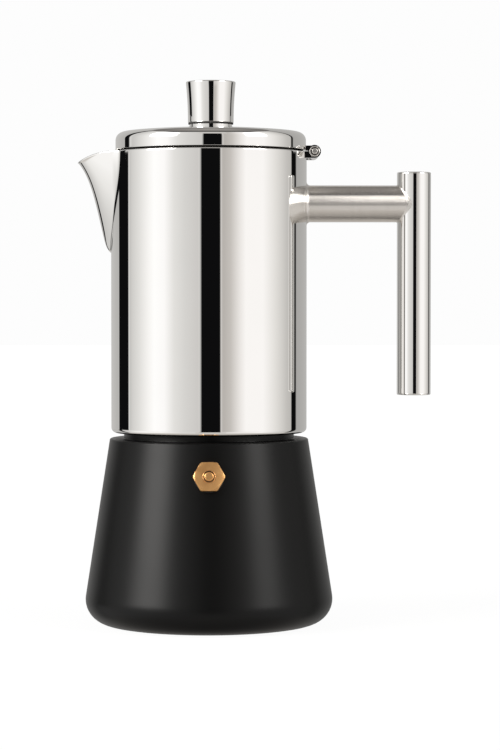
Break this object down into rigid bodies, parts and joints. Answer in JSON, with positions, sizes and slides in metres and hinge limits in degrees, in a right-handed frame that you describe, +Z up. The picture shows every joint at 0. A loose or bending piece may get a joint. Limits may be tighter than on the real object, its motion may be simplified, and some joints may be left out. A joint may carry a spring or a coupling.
{
  "type": "moka pot",
  "caption": "Stovetop coffee maker: black tapered boiler with a brass safety valve, mirror-steel jug with a beak spout, T-shaped tube handle, screwed-on jug and hinged lid with a round knob.",
  "frame": {"origin": "on the boiler's axis, on the face that the pot stands on", "axes": "+Z up along the boiler's axis, -X towards the spout, +X towards the handle and the lid's hinge, -Y towards the safety valve"},
  "size_m": [0.1478, 0.1036, 0.2269],
  "materials": {
    "black_enamel": "semi-gloss black paint",
    "base_aluminium": "turned, satin",
    "brushed_steel": "turned, satin",
    "pressed_steel": "pressed sheet, satin",
    "polished_steel": "mirror polished",
    "hinge_steel": "satin",
    "spring_steel": "drawn wire",
    "valve_brass": "turned, slightly dulled",
    "valve_fibre": "matte black sealing ring",
    "silicone": "pale grey food-grade seal"
  },
  "bodies": {
    "boiler": {"boiler_shell": "black_enamel", "base_plate": "base_aluminium", "boiler_neck": "brushed_steel", "valve_boss": "brushed_steel", "valve_seal": "valve_fibre", "valve_body": "valve_brass", "valve_seat": "valve_brass", "valve_spring": "spring_steel"},
    "valve_pin": {"valve_pin": "valve_brass"},
    "funnel": {"funnel_basket": "pressed_steel", "funnel_stem": "pressed_steel", "funnel_sieve": "pressed_steel"},
    "jug": {"gasket": "silicone", "filter_plate": "pressed_steel", "thread_ring": "brushed_steel", "jug_shell": "polished_steel", "jug_floor": "pressed_steel", "column": "pressed_steel", "column_cap": "pressed_steel", "spout": "polished_steel", "bar_collar": "polished_steel", "handle_bar": "polished_steel", "handle_grip": "polished_steel", "grip_cap_top": "polished_steel", "grip_cap_bottom": "polished_steel", "hinge_lugs": "hinge_steel", "hinge_bolt": "hinge_steel", "hinge_nut": "hinge_steel"},
    "lid": {"lid_shell": "polished_steel", "lid_skirt": "pressed_steel", "lid_tab": "hinge_steel", "knob_collar": "polished_steel", "knob": "polished_steel", "knob_washer": "hinge_steel", "knob_screw": "hinge_steel"}
  },
  "joints": [
    {"name": "funnel_lift", "type": "slide", "parent": "boiler", "child": "funnel", "axis": [0, 0, 1], "range_m": [0, 0.0068]},
    {"name": "jug_unscrew", "type": "hinge", "parent": "funnel", "child": "jug", "pos_m": [0, 0, 0.0845], "axis": [0, 0, 1], "range_deg": [0, 810]},
    {"name": "lid_hinge", "type": "hinge", "parent": "jug", "child": "lid", "pos_m": [0.0438, 0, 0.1974], "axis": [0, 1, 0], "range_deg": [0, 105]},
    {"name": "valve_pin_slide", "type": "slide", "parent": "boiler", "child": "valve_pin", "axis": [0, -0.9882, 0.153], "range_m": [0, 0.0015], "stiffness_N_per_m": 1000, "springref_m": -0.002, "deforming": ["valve_spring"]}
  ],
  "couplings": [
    {"joint": "funnel_lift", "follows": "jug_unscrew", "m_per_rad": 0.00047746}
  ]
}
